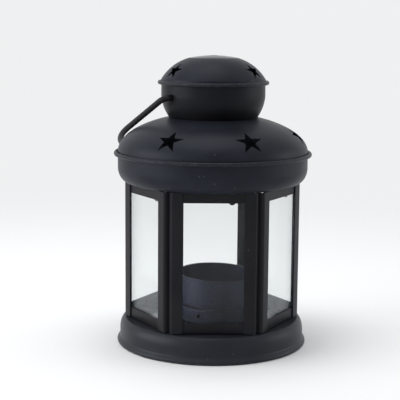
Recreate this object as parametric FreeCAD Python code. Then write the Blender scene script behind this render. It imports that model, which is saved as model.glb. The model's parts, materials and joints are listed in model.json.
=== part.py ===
import FreeCAD, Part
import math
import os

# Tin candle lantern: base pan with candle cup, six-sided glazed frame, domed roof, chimney and bail handle.
# Millimetres. +Z is up, z = 0 is the table, the front window faces -Y and azimuth turns from -Y towards +X.

V = FreeCAD.Vector
ORIGIN = V(0, 0, 0)
UP = V(0, 0, 1)

# Sheet, glass and gaps
sheet = 0.6            # tinplate of every pressed or folded piece
glass = 2.0            # window pane
seam = 0.1             # between pieces slid or crimped together
running = 0.3          # between pieces that move past each other

# Six-sided frame
sides = 6
frame_apothem = 39.6   # axis to the outer face of the corner strips
frame_h = 69.5         # height of the corner posts
groove_lip = 2.7       # from the sharp corner to the edge of the corner groove, along a face
groove_depth = 2.5     # corner groove, below its lips
stile_w = 5.45         # flat strip of a post on each face
bottom_rail_h = 5.7
top_rail_h = 5.0
pane_side_gap = 0.6    # pane edge to the end of its rails
channel_lip_h = 3.0    # upturned edge behind the foot of a pane
top_flange_w = 30.0    # flange of a top rail, along the face
clip_place = 8.7       # pane clip from the middle of its face
clip_w = 3.4
clip_drop = 1.2        # pane clip below the top rail

# Base pan
pan_h = 13.0
pan_margin = 2.56      # wall of the pan outside the grooves' lips
shoulder_w = 3.0       # rounded shoulder, across
shoulder_h = 5.8       # rounded shoulder, upwards
hem_overhang = 1.4     # rolled hem beyond the wall
hem_tube_r = 1.3
hem_flat = 0.1         # the hem is pressed flat by this much where it stands

# Candle cup on its pedestal, and the spring clips that hold the frame
cup_offset = 2.6       # the cup stands a little to the right of the axis
cup_bore_r = 19.4
cup_depth = 14.4
cup_wall = 0.5
cup_bead_r = 0.5
cup_foot_r = 0.9       # inside of the cup's lower edge
cup_rivet_count = 2
cup_rivet_place = 9.0  # from the axis of the cup
pedestal_h = 7.0
pedestal_set_in = 0.3  # pedestal wall inside the cup wall
pedestal_hole_r = 1.25
pedestal_hole_azimuth = -29.0
hold_clips = 3
hold_clip_w = 10.0
hold_clip_h = 4.5
hold_clip_foot = 4.0

# Roof
skirt_margin = 3.56    # skirt wall outside the grooves' lips
skirt_h = 13.9
skirt_round_w = 6.0    # rounded lower edge, across
skirt_round_h = 7.8    # rounded lower edge, upwards
bead_r = 1.05          # rolled rim between skirt and dome
bead_overhang = 2.0    # rim beyond the skirt wall
bead_sit = 0.8         # centre of the rim above the edge that it is crimped on
dome_h = 19.6          # dome if it were whole, above its springing
dome_spring = 1.6      # springing above the edge of the skirt
spigot_w = 0.5         # inner lip that centres one shell in the other
spigot_h = 3.0
vent_r = 14.0          # way for hot air from the dome to the chimney

# Chimney
seat_r = 22.2          # flat seat on top of the dome
bowl_r = 26.15
bowl_swell_h = 10.6    # from the seat to where the wall is upright
bowl_bulge = 0.75      # roundness of the swell
bowl_wall_h = 6.0      # upright wall
cap_bead_r = 1.0
cap_bead_sit = 0.8     # centre of the rim above the bowl's edge
cap_bead_overhang = 1.85
cap_h = 14.3           # from the bowl's edge to the top
cap_bulge = 1.85       # roundness of the cap
cap_flat_r = 11.2      # flattened top, slightly crowned
cap_crown = 1.0        # rise of that top above its edge
cap_foot_h = 2.5       # foot of the cap's curve above the bowl's edge
cap_hole_r = 2.2

# Star cut-outs, one point towards the apex
star_inner = 0.39      # inner corners as a share of the points' radius
star_cut = 4.0         # depth of the cut on each side of a shell's outer face
dome_stars = 6
dome_star_front_gap = 51.4  # degrees between the two front stars; the other gaps are alike
dome_star_r = 7.1
dome_star_inset = 4.0  # star centres inside the skirt wall
dome_star_azimuth = -28.4
cap_stars = 3
cap_star_r = 5.5
cap_star_up = 0.32     # star centres along the curve, from its foot
cap_star_azimuth = -60.0

# Rivets
rivet_r = 0.8
rivet_head_r = 1.3
rivet_head_h = 0.6
rivet_fit = 0.05       # hole wider than the shank, all round
rivet_edge = 0.7       # from a rivet head to the edge of its flange
chimney_rivets = 3

# Bail handle
wire_r = 1.5
pivot_fit = 0.2
pivot_reach = 2.5      # wire end inside the chimney wall
handle_bend = 3.5
handle_clear = 1.3     # leg to the chimney's rim when it swings past
handle_leg = 35.0
handle_turn = 36.7     # pivot line from +X, about +Z
handle_rest_gap = 0.8  # wire to dome when the handle lies down
handle_points = 200    # points along wire and dome where that gap is measured
rim_points = 40        # and round the rolled rim
handle_dip_step = 1e-6 # finest step of the resting angle, in radians


# Worked-out sizes of the frame

half_face = frame_apothem * math.tan(math.pi / sides)
corner_r = frame_apothem / math.cos(math.pi / sides)
lip_r = math.hypot(frame_apothem, half_face - groove_lip)
frame_low = pan_h
frame_top = frame_low + frame_h
rail_out = frame_apothem - sheet
rail_in = rail_out - sheet
glass_out = rail_in - seam
glass_in = glass_out - glass
clip_out = glass_in - seam
clip_in = clip_out - sheet
rivet_place = clip_in - rivet_head_r
flange_in = rivet_place - rivet_head_r - rivet_edge

# Worked-out sizes of base, roof and chimney

pan_r = lip_r + pan_margin
pan_flat_r = pan_r - shoulder_w
shoulder_low = pan_h - shoulder_h
hem_r = pan_r + hem_overhang - hem_tube_r
cup_low = pan_h + pedestal_h
cup_floor = cup_low + sheet
cup_out = cup_bore_r + cup_wall
skirt_r = lip_r + skirt_margin
skirt_top = frame_top + skirt_h
spring_z = skirt_top + dome_spring
seat_z = spring_z + dome_h * math.sqrt(1 - (seat_r / skirt_r) ** 2)
pivot_z = seat_z + bowl_swell_h
bowl_top = pivot_z + bowl_wall_h
cap_top = bowl_top + cap_h
chimney_rivet_place = (vent_r + seat_r) / 2
handle_half = bowl_r + cap_bead_overhang + handle_clear + wire_r


# Shapes that several pieces use

def at(r, z):
    return V(r, 0, z)


def line(p, q):
    return Part.LineSegment(p, q).toShape()


def lines(*points):
    return [line(p, q) for p, q in zip(points, points[1:])]


def bulged(p, q, rise):
    """Arc from p up to q that stands off its chord by rise, outwards."""
    chord = q - p
    out = V(chord.z, 0, -chord.x)
    out.normalize()
    return Part.Arc(p, (p + q) * 0.5 + out * rise, q).toShape()


def crowned(edge, apex):
    """Arc from edge up to apex, level where it meets the axis."""
    rise = apex.z - edge.z
    radius = (edge.x ** 2 + rise ** 2) / (2 * rise)
    half_angle = math.asin(edge.x / radius) / 2
    middle = apex + at(radius * math.sin(half_angle), radius * (math.cos(half_angle) - 1))
    return Part.Arc(edge, middle, apex).toShape()


def corner_arc(centre, radius):
    """Quarter circle from below its centre to outside it."""
    middle = radius * math.sqrt(0.5)
    return Part.Arc(centre + at(0, -radius), centre + at(middle, -middle), centre + at(radius, 0)).toShape()


def ellipse_arc(centre, across, upward, start, end):
    """Stretch of an upright ellipse between two angles in degrees, counted from outwards to upwards."""
    tall = upward > across
    wide_end = centre + V(across, 0, 0)
    high_end = centre + V(0, 0, upward)
    curve = Part.Ellipse(high_end, wide_end, centre) if tall else Part.Ellipse(wide_end, high_end, centre)
    angles = sorted(90 - a if tall else a for a in (start, end))
    return Part.ArcOfEllipse(curve, *(math.radians(a) for a in angles)).toShape()


def turned(edges):
    """Solid of revolution about the axis of the lantern."""
    wire = Part.Wire(Part.__sortEdges__(edges))
    return Part.Face(wire).revolve(ORIGIN, UP, 360)


def prism(points, rise):
    return Part.Face(Part.makePolygon(points + points[:1])).extrude(rise)


def spun(shape, degrees):
    return shape.rotated(ORIGIN, UP, degrees)


def ring_of(shape, count, first=0.0):
    return [spun(shape, first + 360.0 / count * k) for k in range(count)]


def along_face(section, half_length):
    """Strip along the front face: section points are (out from the axis, height)."""
    points = [V(-half_length, -out, z) for out, z in section]
    return prism(points, V(2 * half_length, 0, 0))


def folded(points, thickness):
    """Points of a folded strip: one face as given, the other offset to its left and mitred at the folds."""
    legs = [(q - p).normalize() for p, q in zip(points, points[1:])]
    normals = [V(-d.y, d.x, 0) for d in legs]
    other = []
    for i, point in enumerate(points):
        before = normals[max(i - 1, 0)]
        after = normals[min(i, len(normals) - 1)]
        other.append(point + (before + after) * (thickness / (1 + before.dot(after))))
    return points, other


def rivet(low, high, flush=False):
    """Rivet through plates from low to high, with round heads, or with its upper end flush."""
    ball_r = (rivet_head_r ** 2 + rivet_head_h ** 2) / (2 * rivet_head_h)
    latitude = math.degrees(math.asin(1 - rivet_head_h / ball_r))
    head = Part.makeSphere(ball_r, at(0, rivet_head_h - ball_r), UP, latitude, 90, 360)
    heads = [head.rotated(ORIGIN, V(1, 0, 0), 180).translated(at(0, low))]
    if not flush:
        heads.append(head.translated(at(0, high)))
    return Part.makeCylinder(rivet_r, high - low, at(0, low), UP).fuse(heads)


def rivet_hole(place):
    """Cutter for a rivet hole, long enough for any plate at its place."""
    return Part.makeCylinder(rivet_r + rivet_fit, cap_top, place, UP)


def star_cutter(r, z, out, radius):
    """Prism of a five-pointed star at azimuth 0, through a shell at (r, z) that faces out."""
    up_slope = at(-out.z, out.x)
    points = []
    for k in range(10):
        reach = radius if k % 2 == 0 else radius * star_inner
        angle = math.pi / 5 * k
        place = at(r, z) + up_slope * (reach * math.cos(angle))
        points.append(V(reach * math.sin(angle), -place.x, place.z))
    outward = V(0, -out.x, out.z)
    return prism([p - outward * star_cut for p in points], outward * (2 * star_cut))


def rim(shell_r, edge_z, overhang, tube_r, sit):
    """Rolled rim with its inner spigot: a shell crimped on the wall of another that ends at edge_z."""
    spigot_out = shell_r - sheet - seam
    rolled = Part.makeTorus(shell_r + overhang - tube_r, tube_r, at(0, edge_z + sit), UP)
    below = Part.makeCylinder(shell_r + overhang + tube_r, tube_r, at(0, edge_z - tube_r), UP)
    corners = (
        at(spigot_out, edge_z - spigot_h),
        at(spigot_out, edge_z),
        at(shell_r + overhang - tube_r, edge_z),
        at(shell_r + overhang - tube_r, edge_z + sit),
        at(spigot_out - spigot_w, edge_z + sit),
        at(spigot_out - spigot_w, edge_z - spigot_h),
    )
    return rolled.cut(below).fuse(turned(lines(*corners, corners[0])))


def save(node, shape):
    solids = shape if isinstance(shape, list) else [shape]
    for solid in solids:
        if not solid.isValid() or solid.Volume <= 0:
            raise ValueError(node + " is not a sound solid")
    whole = Part.makeCompound(solids) if len(solids) > 1 else solids[0]
    whole.exportStep("parts/" + node + ".step")


# Base pan, open below, with a rolled hem to stand on

def base_pan():
    centre = at(pan_flat_r, shoulder_low)
    hem_z = hem_tube_r - hem_flat
    inner_r = pan_r - sheet
    shell = lines(at(0, pan_h), at(0, pan_h - sheet), at(pan_flat_r, pan_h - sheet))
    shell.append(ellipse_arc(centre, shoulder_w - sheet, shoulder_h - sheet, 0, 90))
    shell += lines(at(inner_r, shoulder_low), at(inner_r, hem_z), at(pan_r, hem_z), at(pan_r, shoulder_low))
    shell.append(ellipse_arc(centre, shoulder_w, shoulder_h, 0, 90))
    shell += lines(at(pan_flat_r, pan_h), at(0, pan_h))
    hem = Part.makeTorus(hem_r, hem_tube_r, at(0, hem_z), UP)
    below = Part.makeCylinder(hem_r + 2 * hem_tube_r, hem_tube_r, at(0, -hem_tube_r), UP)
    return turned(shell).fuse(hem).cut(below).removeSplitter()


# Candle cup, its pedestal and the rivets through both, made on the axis and then moved to their place

def cup_place(shape):
    return shape.translated(V(cup_offset, 0, 0))


def cup_rivet_ring(shape):
    return ring_of(shape.translated(V(0, -cup_rivet_place, 0)), cup_rivet_count)


def cup_pedestal():
    out = cup_out - pedestal_set_in
    shell = lines(
        at(0, cup_low), at(out, cup_low), at(out, pan_h), at(out - sheet, pan_h),
        at(out - sheet, cup_low - sheet), at(0, cup_low - sheet), at(0, cup_low),
    )
    middle = V(0, -out - sheet / 2, pan_h + pedestal_h / 2)
    wall_hole = Part.makeCylinder(pedestal_hole_r, 2 * sheet, middle, V(0, 1, 0))
    holes = cup_rivet_ring(rivet_hole(ORIGIN)) + [spun(wall_hole, pedestal_hole_azimuth)]
    return cup_place(turned(shell).cut(holes))


def candle_cup():
    rim_z = cup_floor + cup_depth
    bead_z = rim_z - cup_bead_r
    outer_foot_r = cup_foot_r + cup_wall
    inside = at(cup_bore_r - cup_foot_r, cup_floor + cup_foot_r)
    outside = at(cup_out - outer_foot_r, cup_low + outer_foot_r)
    shell = lines(at(outside.x, cup_low), at(0, cup_low), at(0, cup_floor), at(inside.x, cup_floor))
    shell.append(corner_arc(inside, cup_foot_r))
    shell += lines(at(cup_bore_r, inside.z), at(cup_bore_r, bead_z))
    shell += lines(at(cup_bore_r, bead_z), at(cup_out, bead_z), at(cup_out, outside.z))
    shell.append(corner_arc(outside, outer_foot_r))
    bead = Part.makeTorus(cup_bore_r + cup_bead_r, cup_bead_r, at(0, bead_z), UP)
    holes = cup_rivet_ring(rivet_hole(ORIGIN))
    return cup_place(turned(shell).fuse(bead).removeSplitter().cut(holes))


def cup_rivets():
    shape = rivet(cup_low - sheet, cup_floor, flush=True)
    return [cup_place(one) for one in cup_rivet_ring(shape)]


def base_clips():
    """Spring clips that stand on the pan just inside every second bottom rail."""
    out = clip_in - running
    section = (
        (out - hold_clip_foot, pan_h),
        (out, pan_h),
        (out, pan_h + hold_clip_h),
        (out - sheet, pan_h + hold_clip_h),
        (out - sheet, pan_h + sheet),
        (out - hold_clip_foot, pan_h + sheet),
    )
    return ring_of(along_face(section, hold_clip_w / 2), hold_clips)


# Six-sided frame: folded corner posts, rails, panes and the clips behind the panes

def beside_corner(reach):
    """Point on the face to the right of the corner at azimuth 0, reach away from the corner."""
    tilt = math.pi / sides
    return V(reach * math.cos(tilt), reach * math.sin(tilt) - corner_r, 0)


def post_faces():
    """Outer and inner points across a corner post at azimuth 0, from its left strip to its right one."""
    lip = beside_corner(groove_lip)
    end = beside_corner(groove_lip + stile_w)
    bottom = V(0, lip.y + groove_depth, 0)
    return folded([V(-end.x, end.y, 0), V(-lip.x, lip.y, 0), bottom, lip, end], sheet)


def rail_half():
    """Half length of a rail that ends just short of the groove walls of its two posts."""
    inner_lip = post_faces()[1][3]
    return abs(inner_lip.x * math.cos(math.pi / sides) + inner_lip.y * math.sin(math.pi / sides)) - seam


def corner_post():
    outer, inner = post_faces()
    points = [V(p.x, p.y, frame_low) for p in outer + inner[::-1]]
    return prism(points, V(0, 0, frame_h))


def bottom_rail():
    """Channel along the foot of a window: the pane stands in it."""
    floor = frame_low + sheet
    section = (
        (rail_out, frame_low), (rail_out, frame_low + bottom_rail_h), (rail_in, frame_low + bottom_rail_h),
        (rail_in, floor), (clip_out, floor), (clip_out, frame_low + channel_lip_h),
        (clip_in, frame_low + channel_lip_h), (clip_in, frame_low),
    )
    return along_face(section, rail_half())


def top_rail():
    """Strip along the head of a window, with a flange that is riveted under the roof."""
    low = frame_top - top_rail_h
    under = frame_top - sheet
    web_section = ((rail_out, low), (rail_out, frame_top), (rail_in, frame_top), (rail_in, low))
    flange_section = ((rail_in, under), (rail_in, frame_top), (flange_in, frame_top), (flange_in, under))
    web = along_face(web_section, rail_half())
    flange = along_face(flange_section, top_flange_w / 2)
    return web.fuse(flange).removeSplitter().cut(rivet_hole(V(0, -rivet_place, 0)))


def glass_pane():
    low = frame_low + sheet
    high = frame_top - sheet - seam
    section = ((glass_in, low), (glass_out, low), (glass_out, high), (glass_in, high))
    return along_face(section, rail_half() - pane_side_gap)


def pane_clip():
    """Round-ended tab that hangs behind the head of a pane."""
    high = frame_top - sheet
    low = frame_top - top_rail_h - clip_drop
    half = clip_w / 2
    left = V(clip_place - half, -clip_out, low + half)
    right = V(clip_place + half, -clip_out, low + half)
    outline = lines(right, V(right.x, right.y, high), V(left.x, left.y, high), left)
    outline.append(Part.Arc(left, V(clip_place, -clip_out, low), right).toShape())
    return Part.Face(Part.Wire(outline)).extrude(V(0, sheet, 0))


# Roof: skirt with an inward flange, dome with its rolled rim and star cut-outs

def roof_skirt():
    flat_r = skirt_r - skirt_round_w
    centre = at(flat_r, frame_top + skirt_round_h)
    inner_r = skirt_r - sheet
    shell = lines(at(flat_r, frame_top), at(flange_in, frame_top), at(flange_in, frame_top + sheet))
    shell += lines(at(flange_in, frame_top + sheet), at(flat_r, frame_top + sheet))
    shell.append(ellipse_arc(centre, skirt_round_w - sheet, skirt_round_h - sheet, -90, 0))
    shell += lines(at(inner_r, centre.z), at(inner_r, skirt_top), at(skirt_r, skirt_top))
    shell += lines(at(skirt_r, skirt_top), at(skirt_r, centre.z))
    shell.append(ellipse_arc(centre, skirt_round_w, skirt_round_h, -90, 0))
    holes = ring_of(rivet_hole(V(0, -rivet_place, 0)), sides)
    return turned(shell).cut(holes)


def roof_dome():
    """Dome from its rolled rim up to the flat seat of the chimney."""
    centre = at(0, spring_z)
    inner_r = skirt_r - sheet
    inner_h = dome_h - sheet
    under = seat_z - sheet
    top_angle = math.degrees(math.acos(seat_r / skirt_r))
    inner_angle = math.degrees(math.asin((under - spring_z) / inner_h))
    inner_seat_r = inner_r * math.cos(math.radians(inner_angle))
    shell = [ellipse_arc(centre, skirt_r, dome_h, 0, top_angle)]
    shell += lines(at(seat_r, seat_z), at(vent_r, seat_z), at(vent_r, under), at(inner_seat_r, under))
    shell.append(ellipse_arc(centre, inner_r, inner_h, 0, inner_angle))
    foot = skirt_top + bead_sit
    shell += lines(at(inner_r, spring_z), at(inner_r, foot), at(skirt_r, foot), at(skirt_r, spring_z))
    star_r = skirt_r - dome_star_inset
    star_angle = math.acos(star_r / skirt_r)
    star_z = spring_z + dome_h * math.sin(star_angle)
    out = at(math.cos(star_angle) / skirt_r, math.sin(star_angle) / dome_h).normalize()
    star = star_cutter(star_r, star_z, out, dome_star_r)
    whole = turned(shell).fuse(rim(skirt_r, skirt_top, bead_overhang, bead_r, bead_sit)).removeSplitter()
    next_star = dome_star_azimuth + dome_star_front_gap
    other_gap = (360.0 - dome_star_front_gap) / (dome_stars - 1)
    stars = [spun(star, next_star + other_gap * k) for k in range(dome_stars)]
    return whole.cut(stars + chimney_rivet_ring(rivet_hole(ORIGIN)))


def roof_rivets():
    shape = rivet(frame_top - sheet, frame_top + sheet).translated(V(0, -rivet_place, 0))
    return ring_of(shape, sides)


# Chimney: bowl on the dome, cap on the bowl

def chimney_rivet_ring(shape):
    return ring_of(shape.translated(V(0, -chimney_rivet_place, 0)), chimney_rivets)


def chimney_bowl():
    """Bowl with a flat foot, and two holes in its wall for the ends of the handle."""
    inner_r = bowl_r - sheet
    foot_z = seat_z + sheet
    shell = lines(at(bowl_r, pivot_z), at(bowl_r, bowl_top), at(inner_r, bowl_top), at(inner_r, pivot_z))
    shell.append(bulged(at(seat_r - sheet, foot_z), at(inner_r, pivot_z), bowl_bulge))
    shell += lines(at(seat_r - sheet, foot_z), at(vent_r, foot_z), at(vent_r, seat_z), at(seat_r, seat_z))
    shell.append(bulged(at(seat_r, seat_z), at(bowl_r, pivot_z), bowl_bulge))
    pivots = Part.makeCylinder(wire_r + pivot_fit, 4 * bowl_r, V(-2 * bowl_r, 0, pivot_z), V(1, 0, 0))
    return turned(shell).cut([spun(pivots, handle_turn)] + chimney_rivet_ring(rivet_hole(ORIGIN)))


def chimney_cap():
    """Cap with a rolled rim, stars in its curve and a crowned top with a hole."""
    foot = at(bowl_r, bowl_top + cap_foot_h)
    head = at(cap_flat_r, cap_top - cap_crown)
    apex = at(0, cap_top)
    rim_z = bowl_top + cap_bead_sit
    inner_foot = at(bowl_r - sheet, foot.z)
    inner_head = at(cap_flat_r - sheet, head.z - sheet)
    inner_apex = at(0, cap_top - sheet)
    curve = bulged(foot, head, cap_bulge)
    shell = [curve, crowned(head, apex), line(apex, inner_apex)]
    shell += [crowned(inner_head, inner_apex), bulged(inner_foot, inner_head, cap_bulge)]
    shell += lines(inner_foot, at(inner_foot.x, rim_z), at(bowl_r, rim_z), foot)
    first, last = curve.ParameterRange
    place = first + (last - first) * cap_star_up
    centre = curve.valueAt(place)
    slope = curve.tangentAt(place)
    star = star_cutter(centre.x, centre.z, at(slope.z, -slope.x), cap_star_r)
    rolled = rim(bowl_r, bowl_top, cap_bead_overhang, cap_bead_r, cap_bead_sit)
    whole = turned(shell).fuse(rolled).removeSplitter()
    top_hole = Part.makeCylinder(cap_hole_r, cap_h, at(0, bowl_top + cap_foot_h), UP)
    return whole.cut(ring_of(star, cap_stars, cap_star_azimuth) + [top_hole])


def chimney_rivet_group():
    return chimney_rivet_ring(rivet(seat_z - sheet, seat_z + sheet))


# Bail handle: one bent wire, lying back on the dome

def handle_path():
    """Middle line of the wire on a flat plane: pivot line along X, bow towards +Y."""
    inner = bowl_r - sheet - pivot_reach
    stub = handle_half - handle_bend
    turn = handle_bend * math.sqrt(0.5)
    halves = []
    for side in (-1, 1):
        bend_end = V(side * handle_half, handle_bend, 0)
        leg_end = V(side * handle_half, handle_leg, 0)
        bend_start = V(side * stub, 0, 0)
        bend_middle = V(side * (stub + turn), handle_bend - turn, 0)
        bend = Part.Arc(bend_start, bend_middle, bend_end).toShape()
        halves.append([line(V(side * inner, 0, 0), bend_start), bend, line(bend_end, leg_end)])
    left_end = V(-handle_half, handle_leg, 0)
    right_end = V(handle_half, handle_leg, 0)
    bow = Part.Arc(left_end, V(0, handle_leg + handle_half, 0), right_end).toShape()
    return Part.Wire(halves[0] + [bow] + halves[1][::-1])


def gap_to_roof(dip, wire_points, roof_points):
    """Least gap between the wire and the roof when the handle lies dip radians below level."""
    gaps = []
    for p in wire_points:
        r = math.hypot(p.x, p.y * math.cos(dip))
        z = pivot_z - p.y * math.sin(dip)
        gaps.append(min(math.hypot(r - roof.x, z - roof.z) for roof in roof_points))
    return min(gaps) - wire_r


def handle_dip():
    """Angle below level at which the handle comes to lie just above the dome or its rim."""
    dome = ellipse_arc(at(0, spring_z), skirt_r, dome_h, 0, math.degrees(math.acos(seat_r / skirt_r)))
    rolled = Part.makeCircle(bead_r, at(skirt_r + bead_overhang - bead_r, skirt_top + bead_sit), V(0, 1, 0))
    roof_points = dome.discretize(handle_points) + rolled.discretize(rim_points)
    wire_points = [p for p in handle_path().discretize(handle_points) if p.y > handle_bend]
    level, down = 0.0, math.pi / 2
    while down - level > handle_dip_step:
        middle = (level + down) / 2
        if gap_to_roof(middle, wire_points, roof_points) > handle_rest_gap:
            level = middle
        else:
            down = middle
    return math.degrees(level)


def bail_handle():
    path = handle_path()
    start = path.Vertexes[0].Point
    section = Part.Wire(Part.makeCircle(wire_r, start, V(1, 0, 0)))
    wire = path.makePipeShell([section], True, True)
    lying = wire.rotated(ORIGIN, V(1, 0, 0), -handle_dip())
    return spun(lying, handle_turn).translated(V(0, 0, pivot_z))


# Every piece in a file of its own

os.makedirs("parts", exist_ok=True)
corner_turn = 180.0 / sides
for number in range(sides):
    turn = 360.0 / sides * number
    label = "_" + str(number + 1)
    save("corner_post" + label, spun(corner_post(), turn + corner_turn))
    save("bottom_rail" + label, spun(bottom_rail(), turn))
    save("top_rail" + label, spun(top_rail(), turn))
    save("glass_pane" + label, spun(glass_pane(), turn))
save("pane_clips", ring_of(pane_clip(), sides))
save("base_pan", base_pan())
save("cup_pedestal", cup_pedestal())
save("candle_cup", candle_cup())
save("cup_rivets", cup_rivets())
save("base_clips", base_clips())
save("roof_skirt", roof_skirt())
save("roof_dome", roof_dome())
save("roof_rivets", roof_rivets())
save("chimney_bowl", chimney_bowl())
save("chimney_cap", chimney_cap())
save("chimney_rivets", chimney_rivet_group())
save("bail_handle", bail_handle())
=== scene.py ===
import json
import math

import bmesh
import bpy
from mathutils import Matrix, Vector, noise


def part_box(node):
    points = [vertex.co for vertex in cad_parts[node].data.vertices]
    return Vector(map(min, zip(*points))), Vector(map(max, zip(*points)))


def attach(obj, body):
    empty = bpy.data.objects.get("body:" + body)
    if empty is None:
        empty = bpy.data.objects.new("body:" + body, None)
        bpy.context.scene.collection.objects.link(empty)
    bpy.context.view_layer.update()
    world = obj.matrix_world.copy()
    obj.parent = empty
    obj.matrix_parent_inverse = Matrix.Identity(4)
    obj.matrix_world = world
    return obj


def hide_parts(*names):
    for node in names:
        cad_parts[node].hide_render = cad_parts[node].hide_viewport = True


# Tin candle lantern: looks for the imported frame.
# Sizes are in millimetres and are turned into metres when a mesh is made.
# +Z is up, z = 0 is the table, the front window faces -Y and azimuth turns from -Y towards +X.

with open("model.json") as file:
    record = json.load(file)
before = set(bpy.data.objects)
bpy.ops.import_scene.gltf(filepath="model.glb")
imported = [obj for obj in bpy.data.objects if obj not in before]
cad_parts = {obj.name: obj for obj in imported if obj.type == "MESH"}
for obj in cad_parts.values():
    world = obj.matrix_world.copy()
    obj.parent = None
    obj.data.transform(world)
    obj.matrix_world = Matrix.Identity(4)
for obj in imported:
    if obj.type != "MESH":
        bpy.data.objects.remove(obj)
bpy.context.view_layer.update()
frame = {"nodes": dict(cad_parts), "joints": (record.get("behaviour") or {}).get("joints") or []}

MM = 0.001
UP = Vector((0, 0, 1))
SIDES = 6
ROUND_STEPS = 288       # segments round the axis
HOLE_STEPS = 32         # segments round a drilled hole
SMOOTH_BELOW = 35.0     # edges flatter than this are shaded smooth, in degrees


def span(node):
    """Lowest and highest corner of a frame node, in millimetres."""
    low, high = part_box(node)
    return low / MM, high / MM


pan_low, pan_high = span("base_pan")
cup_low, cup_high = span("candle_cup")
pedestal_low, pedestal_high = span("cup_pedestal")
skirt_low, skirt_high = span("roof_skirt")
bowl_low, bowl_high = span("chimney_bowl")
rail_high = span("bottom_rail_1")[1]
dome_high = span("roof_dome")[1]
cap_high = span("chimney_cap")[1]
swing = next(joint for joint in frame["joints"] if joint["name"] == "handle_swing")

# Sheet and frame
SHEET = 0.6
SEAM = 0.1              # clearance where one piece fits into another
DRILL = 3 * SHEET       # how far a hole's cutter reaches
GLASS = 2.0
FRAME_APOTHEM = 39.6    # axis to the outer face of the posts
GROOVE_LIP = 2.7        # corner to the lip of its groove, along the face
GROOVE_DEPTH = 2.5
STILE = 5.45            # width of a post's flat beside the groove
LIP_FOLD = 1.05         # radius of the sheet's middle line at the lips of a groove
GROOVE_FOLD = 0.75      # and at the bottom of the groove
RAIL_FOLD = 0.5
FOLD_STEPS = 6
EDGE_ROUND = 0.18       # how far the rounded edge of a strip stands out
POST_FOOT_GAP = 0.35    # shadow line between posts and pan
BOTTOM_RAIL = 5.7       # height
TOP_RAIL = 5.0
CHANNEL_LIP = 3.0       # height of the bottom rail's inner lip
FLANGE_HALF = 15.0      # half the length of a top rail's flange
FLANGE_IN = 32.3        # inner edge of the flanges on skirt and top rails
FRAME_LOW = pan_high.z
FRAME_TOP = skirt_low.z

# Base pan
HEM_TUBE = 1.3          # radius of the rolled hem
HEM_R = pan_high.x - HEM_TUBE
HEM_FLAT = 0.1          # how far the hem is flattened where it stands
HEM_FLARE = 2.6         # height over which the wall flares out to the hem
HEM_STEP = 1.4          # how far the hem stands out past the wall
HEM_WEAR = 0.35
HEM_STEPS = 40
FLARE_STEPS = 16
PAN_R = pan_high.x - HEM_STEP
PAN_POLISH_R = 36.0     # the floor is smoother within this radius
PAN_STEPS = 12
SHOULDER_W = 3.0
SHOULDER_H = 5.8
SHOULDER_STEPS = 20

# Cup and pedestal
CUP_X = (cup_low.x + cup_high.x) / 2
CUP_BORE = 19.4         # radius
CUP_WALL = 0.5
CUP_BEAD = 0.5          # radius of the beaded rim
CUP_BEAD_START = -80    # where the bead leaves the wall, in degrees
CUP_BEAD_STEPS = 20
CUP_FOOT_ROUND = 0.9
CUP_LEAN = 2.6          # degrees
CUP_LEAN_AZIMUTH = 52.0
CUP_WEAR = 0.6
CUP_STEPS = 8
PEDESTAL_R = 19.6
PEDESTAL_STEPS = 6
PEDESTAL_HOLE = 1.25    # radius
PEDESTAL_HOLE_AZIMUTH = -29.0

# Roof
SKIRT_R = skirt_high.x
SKIRT_ROUND_W = 6.0
SKIRT_ROUND_H = 7.8
SKIRT_STEPS = 4
SKIRT_ROUND_STEPS = 24
BEAD = 1.05             # radius of the rolled rim
BEAD_OVERHANG = 2.0     # how far the rim stands out past the shell
BEAD_SIT = 0.8          # height of the roll's middle over the edge that it sits on
# Painted highlight along the top of the rolled rims of dome and cap, with a little scuffing in it
BEAD_WEAR_AND_HIGHLIGHT = 0.2
BEAD_STEPS = 24
DOME_H = 19.6           # height of the dome's ellipse, which the seat cuts off
DOME_SPRING = 1.6       # height over the skirt where the ellipse starts
DOME_STEPS = 64
SPIGOT_W = 0.5
SPIGOT_H = 3.0
VENT_R = 14.0
SEAT_R = 22.2
SEAT_STEPS = 6

# Chimney
BOWL_R = bowl_high.x
BOWL_SWELL = 10.6       # height of the swelling part, up to the pivots
BOWL_BULGE = 0.75
BOWL_SWELL_STEPS = 24
BOWL_WALL_STEPS = 8
BOWL_FOOT_STEPS = 4
CAP_BEAD = 1.0
CAP_BEAD_SIT = 0.8
CAP_BEAD_OVERHANG = 1.85
CAP_FOOT = 2.5          # height of the cap's foot over the bowl
CAP_BULGE = 1.85
CAP_STEPS = 40
CAP_FLAT_R = 11.2
CAP_CROWN = 1.0
CAP_CROWN_STEPS = 16
CAP_HOLE = 2.2          # radius

# Stars
STAR_POINTS = 5
STAR_INNER = 0.39       # radius of the inner corners, as a share of the outer radius
STAR_CUT = 4.0          # how far a star's cutter reaches to either side of the sheet
DOME_STAR_AZIMUTHS = (-30.2, 23.0, 80.5, 143.0, 205.5, 268.0)      # degrees, unevenly spaced
DOME_STAR_R = 7.3
DOME_STAR_INSET = 5.4   # from the dome's wall in to the middle of a star, level
CAP_STARS = 3
CAP_STAR_R = 5.5
CAP_STAR_UP = 0.32      # share of the way up the cap's side
CAP_STAR_AZIMUTH = -60.0

# Bail
WIRE_R = 1.5
WIRE_SIDES = 20
PIVOT_FIT = 0.2         # clearance round the wire in the bowl's holes
PIVOT_REACH = 2.5       # how far the wire's ends reach into the bowl
PIVOT_STEPS = 6
BAIL_BEND = 3.5
BAIL_BEND_STEPS = 12
BAIL_CLEAR = 1.3        # gap between wire and cap rim
BAIL_LEG = 35.0         # from the pivots to the middle of the bow
BAIL_LEG_STEPS = 12
BAIL_BOW_STEPS = 72
BAIL_SWING_SPARE = 0.03     # degrees of dip at rest beyond half of the swing past 180

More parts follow.
